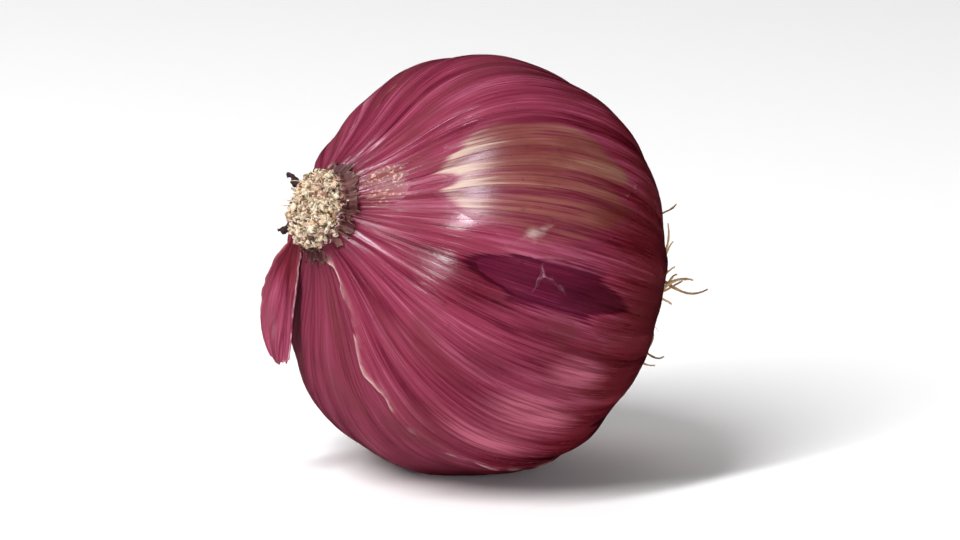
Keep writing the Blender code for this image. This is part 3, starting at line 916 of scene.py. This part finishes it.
# Neck: nested dry leaf bases, cut across, with a rough core, crumbs and frayed fibres. Millimetres.
neckForm = {
    "rings": ((6.5, 4), (5.9, 3), (5.0, 3), (4.1, 3), (3.2, 2), (2.2, 2), (1.2, 1)),  # radius, leaves
    "top": 5.4,
    "base": -1.5,
    "leafCell": 0.17,
    "leafRows": 44,
    "leafPast": 2.6,  # how far a leaf's grid reaches above the top
    "faceRadius": 6.6,
    "plugRadius": 6.0,
    "plugTop": 3.9,
    "plugRound": 1.8,  # how far its rim lies below its middle
    "dome": 0.036,  # fall from the middle, times the squared distance
    "scraps": 90,
    "nuggets": 720,
    "nuggetsOnSide": 0.52,
    "fibres": 60,
    "stubs": ((232, 3.9, 0.75), (296, 4.7, 0.85)),  # degrees, length, radius
    "seed": 207,
}
rimHeight = float(shoulderHeight(np.array(bulbForm["collar"])))
neckFrame = np.stack((upward, front, axis))


def onNeck(height, distance, angle):
    # Millimetres above the collar's rim and from the axis
    return place(rimHeight + height / 1000, distance / 1000, angle)


def neckPart(local, faces, tone, edge):
    # Points given in millimetres from the middle of the collar's rim, which are also their material's places
    points = local @ neckFrame / 1000 + rimHeight * axis + stand["shift"]
    return points, faces, {"neckPlace": local, "tone": tone, "edge": np.full(len(local), edge)}


def neckValues(height, distance, angle, tone, edge):
    # What the neck's material reads: the place in millimetres, a tone and how near a torn border is
    tone, edge, height = np.broadcast_arrays(tone, edge, height)
    return {"neckPlace": roundPlace(height, angle, distance, 1), "tone": tone, "edge": edge}


def makeLeaf(draw, radius, leaves, number):
    # A curved sheet round the axis with pleats and crumples, whose top border is frayed into fibres
    start = 2 * math.pi * (number + 0.6 * draw.random()) / leaves
    sweep = 2 * math.pi / leaves * draw.uniform(0.85, 1.15)
    heights = (neckForm["base"], neckForm["top"] + neckForm["leafPast"])
    columns = int(10 + sweep * radius / neckForm["leafCell"])
    height, share = grid(heights, neckForm["leafRows"], (0, 1), columns)
    angle = start + sweep * share
    seed = int(draw.integers(300, 900))
    around = point(radius * angle, 0.25 * height, radius)
    top = neckForm["top"] + draw.uniform(-0.8, 0.5) - neckForm["dome"] * radius**2
    top = top + 1.5 * layeredNoise(point(0.8 * radius * angle, 0.0, seed), seed, 2)
    fray = 1.5 * layeredNoise(2.4 * around, seed + 1, 3, 0.7)
    sides = np.minimum(share, 1 - share) * sweep * radius + 0.5 * layeredNoise(around, seed + 5, 3)
    inside = np.minimum(top - height + fray, sides)
    faces = cutFaces(inside)
    height, angle = pullToBorder((height, angle), inside)
    pleats = 0.28 * np.cos((6 + 2.2 * radius) * angle + seed) * ease((height + 0.5) / 3)
    crumple = 0.55 * layeredNoise(point(0.7 * radius * angle, 0.35 * height, 0.0), seed + 9, 3)
    flare = draw.uniform(-0.5, 0.4) * ease((height - 2.0) / 4.0)
    waist = -0.25 * np.exp(-(((height - 1.4) / 1.2) ** 2))
    distance = np.maximum(radius + pleats + crumple * ease((height + 1) / 3) + flare + waist, 0.25)
    tone = draw.uniform(0.0, 0.35) + (0.25 if radius > 6.2 else 0.0)
    values = neckValues(height, distance, angle, tone, np.exp(-np.maximum(inside, 0) / 0.3))
    return compact(onNeck(height, distance, angle), faces, values)


def makeNeckLeaves():
    # Every leaf of every ring
    draw = np.random.default_rng(neckForm["seed"])
    leaves = ((radius, count, number) for radius, count in neckForm["rings"] for number in range(count))
    return joinParts([makeLeaf(draw, *leaf) for leaf in leaves])


def makeNeckPlug():
    # A closed rough mound: rings from the foot's middle, up its side and over its pitted top to the middle
    angle = np.linspace(0, 2 * math.pi, 96, endpoint=False)[None, :]
    across = np.linspace(1.0, 0.04, 26)[:, None]
    side = np.linspace(neckForm["base"], neckForm["plugTop"] - neckForm["plugRound"], 12)[:, None]
    top = neckForm["plugTop"] - neckForm["plugRound"] * across**2.5
    height = np.concatenate((np.full((3, 1), neckForm["base"]), side, top))
    distance = neckForm["plugRadius"] * np.concatenate(([[0.1], [0.5], [0.9]], 0 * side + 0.97, across))
    spot = roundPlace(height, angle, distance, 1)
    rough = 1.3 * layeredNoise(0.55 * spot, 401, 4, 0.65) + 0.4 * np.abs(softNoise(1.7 * spot, 409))
    height = height + np.where(np.arange(len(height))[:, None] < len(height) - len(top), 0.0, rough)
    distance = distance * (1 + 0.04 * softNoise(0.6 * spot, 411))
    ends = onNeck(np.array((height[0].mean(), height[-1].mean())), 0.0, 0.0)
    return closedRings(onNeck(height, distance, angle), ends, neckValues(height, distance, angle, 0.8, 0.0))


def makeScrap(draw, height, distance, around):
    # A small bowl-shaped scrap, turned at random about the axis and less about the other two directions
    u, v = grid((-1, 1), 6, (-1, 1), 5)
    length, width = draw.uniform(0.45, 1.15), draw.uniform(0.35, 0.85)
    taper = 1 - 0.45 * np.abs(u) ** 1.5
    bend = draw.uniform(-0.5, 0.5)
    bowl = bend * (u * u + 0.6 * v * v) + 0.10 * draw.normal(size=u.shape)
    flat = point(width * v * taper, bowl, length * u + 0.12 * draw.normal(size=u.shape))
    turn = draw.normal(size=3) * (0.7, 0.7, 0.0)
    spin = draw.uniform(0, 2 * math.pi)
    c, s = math.cos(spin), math.sin(spin)
    flat = flat @ np.array(((c, s, 0), (-s, c, 0), (0, 0, 1)))
    flat = flat + np.cross(turn, flat)
    local = flat + (distance * math.cos(around), distance * math.sin(around), height)
    tone = np.full(u.size, draw.choice((0.0, 0.0, 0.05, 0.15, 0.3, 0.6, 1.05)))
    return neckPart(local.reshape(-1, 3), gridFaces(6, 5).reshape(-1, 4), tone, 0.15)


def makeNeckScraps():
    # Scraps over the cut face and round the neck's side
    draw = np.random.default_rng(neckForm["seed"] + 1)
    parts = []
    for number in range(neckForm["scraps"]):
        distance = neckForm["faceRadius"] * math.sqrt(draw.uniform(0.1, 1.0))
        height = neckForm["top"] + draw.uniform(-1.1, 0.4) - neckForm["dome"] * distance**2
        parts.append(makeScrap(draw, height, distance, draw.uniform(0, 2 * math.pi)))
    return joinParts(parts)


def makeNuggets():
    # Round crumbs: a small sphere for each, stretched, dented with soft noise and set on the cut face and the
    # upper part of the neck's side
    draw = np.random.default_rng(neckForm["seed"] + 5)
    ball = bmesh.new()
    bmesh.ops.create_icosphere(ball, subdivisions=2, radius=1.0)
    corners = np.array([corner.co for corner in ball.verts])
    faces = np.array([[corner.index for corner in face.verts] for face in ball.faces])
    ball.free()
    count, radius = neckForm["nuggets"], neckForm["faceRadius"]
    onSide = draw.random(count) < neckForm["nuggetsOnSide"]
    distance = np.where(onSide, radius + 0.5 * draw.random(count), radius * np.sqrt(draw.random(count)))
    height = neckForm["top"] + 0.45 * draw.normal(size=count) - neckForm["dome"] * distance**2
    height = height - onSide * 3.6 * draw.random(count) ** 1.2
    centres = roundPlace(height, 2 * math.pi * draw.random(count), distance, 1)
    sizes = draw.uniform(0.26, 0.74, (count, 1, 1)) * draw.uniform(0.55, 1.35, (count, 1, 3))
    dents = 1 + 0.50 * softNoise(1.6 * corners + 3.7 * np.arange(count)[:, None, None], 223)
    local = (centres[:, None] + corners * sizes * dents[..., None]).reshape(-1, 3)
    moves = len(corners) * np.arange(count)[:, None, None]
    tone = draw.choice((-0.15, -0.1, 0.0, 0.1, 0.25, 0.5, 0.8, 0.95), count) + 0.10 * onSide
    return neckPart(local, (faces + moves).reshape(-1, 3), np.repeat(tone, len(corners)), 0.0)


def unit(vectors):
    # Each vector divided by its own length
    return vectors / np.linalg.norm(vectors, axis=-1, keepdims=True)


def strandPaths(starts, headings, lengths, curls, steps, draw, keepClear=None):
    # Each strand walks on by equal steps, and its heading turns about a slowly changing vector
    here, heading = starts.copy(), unit(headings)
    spin = curls[:, None] * unit(draw.normal(size=starts.shape))
    paths = [here]
    for step in range(steps):
        here = here + heading * (lengths / steps)[:, None]
        if keepClear:
            here = keepClear(here)
        paths.append(here)
        spin = curls[:, None] * unit(spin + 0.35 * curls[:, None] * draw.normal(size=spin.shape))
        heading = unit(heading + np.cross(spin, heading))
    return np.stack(paths, axis=1)


def strands(paths, radii, sides):
    # Rings round each path: radius times a turning unit vector across it, each end closed to the path's own
    # end. The last result is how many points a strand has.
    count, steps = paths.shape[:2]
    ahead = unit(np.gradient(paths, axis=1))
    across = np.cross(ahead[:, 0], np.roll(ahead[:, 0], 1, axis=1) + (0.31, 0.17, 0.53))
    turn = 2 * math.pi * np.arange(sides)[None, :, None] / sides
    rings = []
    for step in range(steps):
        line = ahead[:, step]
        across = unit(across - (across * line).sum(axis=1, keepdims=True) * line)
        circle = np.cos(turn) * across[:, None] + np.sin(turn) * np.cross(line, across)[:, None]
        rings.append(paths[:, step, None] + radii[:, step, None, None] * circle)
    rings = np.stack(rings, axis=1)
    each = steps * sides + 2
    points = np.concatenate((rings.reshape(count, -1, 3), paths[:, :1], paths[:, -1:]), axis=1)
    side, step = np.arange(sides), np.arange(steps - 1)[:, None] * sides
    over = (side + 1) % sides
    last = (steps - 1) * sides
    walls = np.stack((step + side, step + over, step + over + sides, step + side + sides), axis=-1)
    start = np.stack((0 * side + each - 2, over, side), axis=-1)
    end = np.stack((0 * side + each - 1, last + side, last + over), axis=-1)
    moves = each * np.arange(count)[:, None, None]
    faces = (walls.reshape(-1, 4) + moves).reshape(-1, 4).tolist()
    faces += (np.concatenate((start, end)) + moves).reshape(-1, 3).tolist()
    return points.reshape(-1, 3), faces, each


def makeNeckFibres():
    # Thin frayed fibres that stand up from the leaves' torn tops and lean outwards
    draw = np.random.default_rng(neckForm["seed"] + 2)
    count, steps = neckForm["fibres"], 7
    outer = neckForm["rings"][0][0]
    around = draw.uniform(0, 2 * math.pi, count)
    distance = outer * np.sqrt(draw.uniform(0.12, 1.0, count))
    starts = onNeck(draw.uniform(3.6, 4.8, count), distance, around)
    lean = draw.uniform(0.0, 0.9, count) * distance / outer
    outward = place(0.0, 1.0, around) - stand["shift"]
    headings = axis + lean[:, None] * outward + 0.3 * draw.normal(size=(count, 3))
    lengths = draw.uniform(0.0010, 0.0026, count)
    paths = strandPaths(starts, headings, lengths, draw.uniform(0.05, 0.35, count), steps, draw)
    radii = np.linspace(0.00013, 0.00004, steps + 1)[None, :] * draw.uniform(0.7, 1.3, (count, 1))
    points, faces, each = strands(paths, radii, 5)
    tone = np.repeat(draw.uniform(0.0, 0.45, count), each)
    return points, faces, {"neckPlace": points @ neckFrame.T * 1000, "tone": tone, "edge": 0 * tone + 0.3}


def makeStubs():
    # Two dark dry leaf ends: twisted, wrinkled strands as thick as in the solid
    draw = np.random.default_rng(neckForm["seed"] + 3)
    paths, radii = [], []
    start, steps = -2.2, 22
    for degrees, length, radius in neckForm["stubs"]:
        reach = np.linspace(start, length, steps)
        height = 3.4 + 0.35 * reach + 0.15 * np.sin(1.7 * reach)
        paths.append(onNeck(height, 6.7 + 0.85 * reach, math.radians(degrees) + 0.03 * np.sin(2.1 * reach)))
        swell = 1 + 0.22 * np.sin(3.1 * reach) + 0.12 * draw.normal(size=steps)
        taper = np.interp(reach, (start, 0.6 * length, length), (1.0, 0.9, 0.45))
        radii.append(radius / 1000 * swell * taper)
    points, faces, each = strands(np.stack(paths), np.stack(radii), 14)
    local = points @ neckFrame.T * 1000
    points = points + 0.00012 * np.stack([softNoise(2.3 * local, 431 + n) for n in range(3)], axis=1)
    tone = np.full(len(local), 1.15)
    return points, faces, {"neckPlace": local, "tone": tone, "edge": 0 * tone}


neckColours = {
    "cream": (0.760, 0.670, 0.510),
    "tan": (0.580, 0.420, 0.270),
    "orange": (0.640, 0.320, 0.140),
    "pink": (0.560, 0.300, 0.270),
    # The next colour is olive-brown painted shade for the pits; dark also paints shade in the deepest pits
    "pitShade": (0.160, 0.120, 0.055),
    "brown": (0.220, 0.100, 0.060),
    "dark": (0.035, 0.014, 0.014),
    "tip": (0.840, 0.730, 0.570),
    "roughness": 0.82,
}


def neckMaterial():
    # Cream to tan by the tone and the fibres, then orange and pink patches, brown deeps, painted shade in the
    # pits and pale tips
    material, shader = newMaterial("frayed neck", neckColours["roughness"])
    where = attribute("neckPlace", "Vector")
    tone = attribute("tone")
    fibres = noiseValue(stretched(where, 3.2, 3.2, 0.45), detail=5.0, roughness=0.65)
    patches = noiseValue(stretched(where, 0.55, 0.55, 0.35), detail=3.0)
    pits = noiseValue(where, 1.15, 6.0, 0.66)
    far = addNode("ShaderNodeSeparateXYZ", {0: where}).outputs[1]
    mixed = plus(tone, times(plus(fibres, -0.5), 1.5))
    colour = mix(band(mixed, 0.00, 0.45), neckColours["cream"], neckColours["tan"])
    layers = (
        (band(patches, 0.54, 0.66, 0.0, 0.6), "orange"),
        (times(band(far, 0.5, -4.5), band(fibres, 0.44, 0.60, 0.0, 0.6)), "orange"),
        (band(patches, 0.44, 0.34, 0.0, 0.7), "pink"),
        (band(mixed, 0.50, 0.95), "brown"),
        # Painted shade: olive-brown, then near black, in the pits where the bump is dented
        (band(pits, 0.51, 0.57, 0.0, 0.80), "pitShade"),
        (band(pits, 0.58, 0.64, 0.0, 0.92), "dark"),
        (band(tone, 0.95, 1.1), "dark"),
        (times(attribute("edge"), 0.7), "tip"),
    )
    for share, name in layers:
        colour = mix(share, colour, neckColours[name])
    finishSurface(shader, colour, plus(fibres, times(pits, -0.6)), 0.8, 0.0003)
    return material


neckLook = neckMaterial()
neckParts = (
    ("neck_leaves", makeNeckLeaves(), 0.0002),
    ("neck_core", makeNeckPlug(), None),
    ("neck_scraps", makeNeckScraps(), 0.00014),
    ("neck_nuggets", makeNuggets(), None),
    ("neck_fibres", makeNeckFibres(), None),
    ("neck_stubs", makeStubs(), None),
)
for name, part, thickness in neckParts:
    addPiece(name, part, neckLook, "neck", thickness, 0.0)

# Roots: a low rough plate in the dish, and curly dry roots that grow out of it
rootForm = {
    "roots": {"count": 170, "lengths": (0.010, 0.021), "thick": (0.00034, 0.00052), "seed": 511},
    "root_hairs": {"count": 90, "lengths": (0.005, 0.014), "thick": (0.00009, 0.00017), "seed": 512},
    "steps": 20,
    "sides": 6,
    "curl": (0.12, 0.42),
    "sunk": 0.0012,
    "clearance": 0.0011,
    "past": 0.0012,  # how far a strand may pass the solid's box
    "plateRadius": 0.0073,
    "plateDome": 0.0016,
}


def clearOfBulb(points):
    # A point too near the bulb moves out along the axis until it is clear
    local = points - stand["shift"]
    height = local @ axis
    distance = np.linalg.norm(local - height[:, None] * axis, axis=1)
    most = baseHeight(distance) - rootForm["clearance"]
    push = np.where(distance > bulbForm["dish"], np.minimum(0.0, most - height), 0.0)
    return points + push[:, None] * axis


def makeRoots(count, lengths, thick, seed):
    # Golden-angle starts on the plate, headings that spread more towards its rim, then curly walks
    draw = np.random.default_rng(seed)
    share = (np.arange(count) + 0.5) / count
    around = np.arange(count) * math.pi * (3 - math.sqrt(5))
    out = 0.90 * rootForm["plateRadius"] * np.sqrt(share)
    dome = rootForm["plateDome"] * np.sqrt(1 - (out / rootForm["plateRadius"]) ** 2)
    start = baseHeight(bulbForm["dish"]) - dome + rootForm["sunk"]
    spread = 0.25 + 1.15 * share + draw.uniform(-0.2, 0.25, count)
    turned = around + draw.uniform(-0.45, 0.45, count)
    headings = place(-np.cos(spread), np.sin(spread), turned) - stand["shift"]
    curls = draw.uniform(*rootForm["curl"], count)
    long = draw.uniform(*lengths, count)
    starts = place(start, out, around)
    paths = strandPaths(starts, headings, long, curls, rootForm["steps"], draw, clearOfBulb)
    low, high = (np.array(corner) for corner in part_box("root_tuft"))
    paths = np.clip(paths, low - rootForm["past"], high + rootForm["past"])
    steps = np.linspace(0, 1, rootForm["steps"] + 1)
    knots = 1 + 0.13 * draw.normal(size=(count, rootForm["steps"] + 1))
    radii = draw.uniform(*thick, count)[:, None] * (1 - 0.62 * steps**1.6) * knots
    points, faces, each = strands(paths, radii, rootForm["sides"])
    tone = np.repeat(draw.random(count), each)
    reach = np.concatenate((np.repeat(steps, rootForm["sides"]), (0.0, 1.0)))
    return points, faces, {"tone": tone, "reach": np.tile(reach, count)}


def makeRootPlate():
    # A domed disc with a rough face: rings from the foot's middle, round its rim and over the dome
    angle = np.linspace(0, 2 * math.pi, 90, endpoint=False)[None, :]
    turn = np.linspace(math.pi / 2, 0.05, 22)[:, None]
    rim = baseHeight(bulbForm["dish"])
    foot = rim + bulbForm["dishDepth"] - 0.0003
    height = np.concatenate((np.full((3, 1), foot), rim - rootForm["plateDome"] * np.cos(turn)))
    distance = rootForm["plateRadius"] * np.concatenate(([[0.1], [0.6], [1.0]], np.sin(turn)))
    rough = 0.0007 * np.abs(layeredNoise(900 * roundPlace(height, angle, distance, 1), 521, 4, 0.65))
    height = height - np.where(np.arange(len(height))[:, None] > 3, rough, 0.0)
    ends = place(np.array((foot, height[-1].mean())), 0.0, 0.0)
    values = {"tone": np.full(height.shape, 0.8), "reach": np.zeros(height.shape)}
    return closedRings(place(height, distance, angle), ends, values, inward=True)


rootColours = {
    "pale": (0.640, 0.470, 0.270),
    "main": (0.480, 0.310, 0.150),
    "dark": (0.210, 0.110, 0.050),
    "foot": (0.270, 0.150, 0.075),
}


def rootMaterial():
    # Pale to main to dark by each root's tone and a mottle, darker at its foot
    material, shader = newMaterial("dry roots", 0.72)
    mottle = noiseValue(objectPlace(), 420.0, 4.0, 0.6)
    grain = noiseValue(objectPlace(), 2600.0, 3.0, 0.6)
    mixed = plus(times(attribute("tone"), 0.6), times(mottle, 0.7))
    colour = mix(band(mixed, 0.25, 0.75), rootColours["pale"], rootColours["main"])
    colour = mix(band(mixed, 0.72, 1.0), colour, rootColours["dark"])
    colour = mix(band(attribute("reach"), 0.22, 0.0, 0.0, 0.8), colour, rootColours["foot"])
    finishSurface(shader, colour, plus(mottle, times(grain, 0.5)), 0.6, 0.0002)
    return material


rootLook = rootMaterial()
for name in ("roots", "root_hairs"):
    addPiece(name, makeRoots(**rootForm[name]), rootLook, "root_tuft")
addPiece("root_plate", makeRootPlate(), rootLook, "root_tuft")

# Floor, light and camera
stageForm = {
    "floorSize": 8.0,
    "floorColour": (0.96, 0.96, 0.96, 1.0),
    "worldColour": (1.0, 1.0, 1.0, 1.0),
    "worldStrength": 0.20,
    "azimuth": -33,
    "elevation": 12,
    "cameraDistance": 0.95,
    "lens": 185,
    "aim": (-0.0009, 0.0, 0.038),
}


def aimFrom(thing, azimuth, elevation, distance):
    # Sets the thing that far from the aim, azimuth 0 at the front, -Y, and -90 at the left, -X, and turns its
    # own -Z to the aim
    a, e = math.radians(azimuth), math.radians(elevation)
    away = Vector((math.sin(a) * math.cos(e), -math.cos(a) * math.cos(e), math.sin(e)))
    thing.location = away * distance + Vector(stageForm["aim"])
    thing.rotation_euler = away.to_track_quat("Z", "Y").to_euler()


def addFloor():
    half = stageForm["floorSize"] / 2
    mesh = bpy.data.meshes.new("floor")
    corners = [(-half, -half, 0), (half, -half, 0), (half, half, 0), (-half, half, 0)]
    mesh.from_pydata(corners, [], [(0, 1, 2, 3)])
    floor = addObject("floor", mesh)
    material, shader = newMaterial("pale floor", 0.7)
    shader["Base Color"].default_value = stageForm["floorColour"]
    mesh.materials.append(material)
    floor.visible_glossy = False


def addWorld():
    world = bpy.data.worlds.new("studio")
    world.use_nodes = True
    background = world.node_tree.nodes["Background"]
    background.inputs["Color"].default_value = stageForm["worldColour"]
    background.inputs["Strength"].default_value = stageForm["worldStrength"]
    world.cycles_visibility.glossy = False
    bpy.context.scene.world = world


def addSoftbox(name, where, size, power, colour=(1.0, 1.0, 1.0), gloss=True, diffuse=True):
    # An area light that faces the onion. Without gloss it leaves no reflection, without diffuse only that
    data = bpy.data.lights.new(name, "AREA")
    data.shape = "RECTANGLE"
    data.size, data.size_y = size
    data.energy = power
    data.color = colour
    box = addObject(name, data)
    aimFrom(box, *where)
    box.visible_glossy = gloss
    box.visible_diffuse = diffuse


def addCamera():
    data = bpy.data.cameras.new("camera")
    data.lens = stageForm["lens"]
    data.clip_start = 0.01
    camera = addObject("camera", data)
    aimFrom(camera, stageForm["azimuth"], stageForm["elevation"], stageForm["cameraDistance"])
    bpy.context.scene.camera = camera


addFloor()
addWorld()
addSoftbox("key softbox", (-80, 50, 1.5), (0.13, 1.25), 28.0)
addSoftbox("front fill", (-22, 6, 2.2), (1.2, 1.2), 25.0, colour=(1.0, 0.94, 1.0), gloss=False)
addSoftbox("top fill", (168, 55, 2.7), (2.6, 2.6), 24.0, gloss=False)
addSoftbox("lilac gloss", (-80, 58, 1.5), (0.09, 0.70), 13.0, colour=(0.90, 0.76, 1.0), diffuse=False)
addCamera()
bpy.context.scene.view_settings.view_transform = "Standard"
print("onion: floor, lights and camera placed")
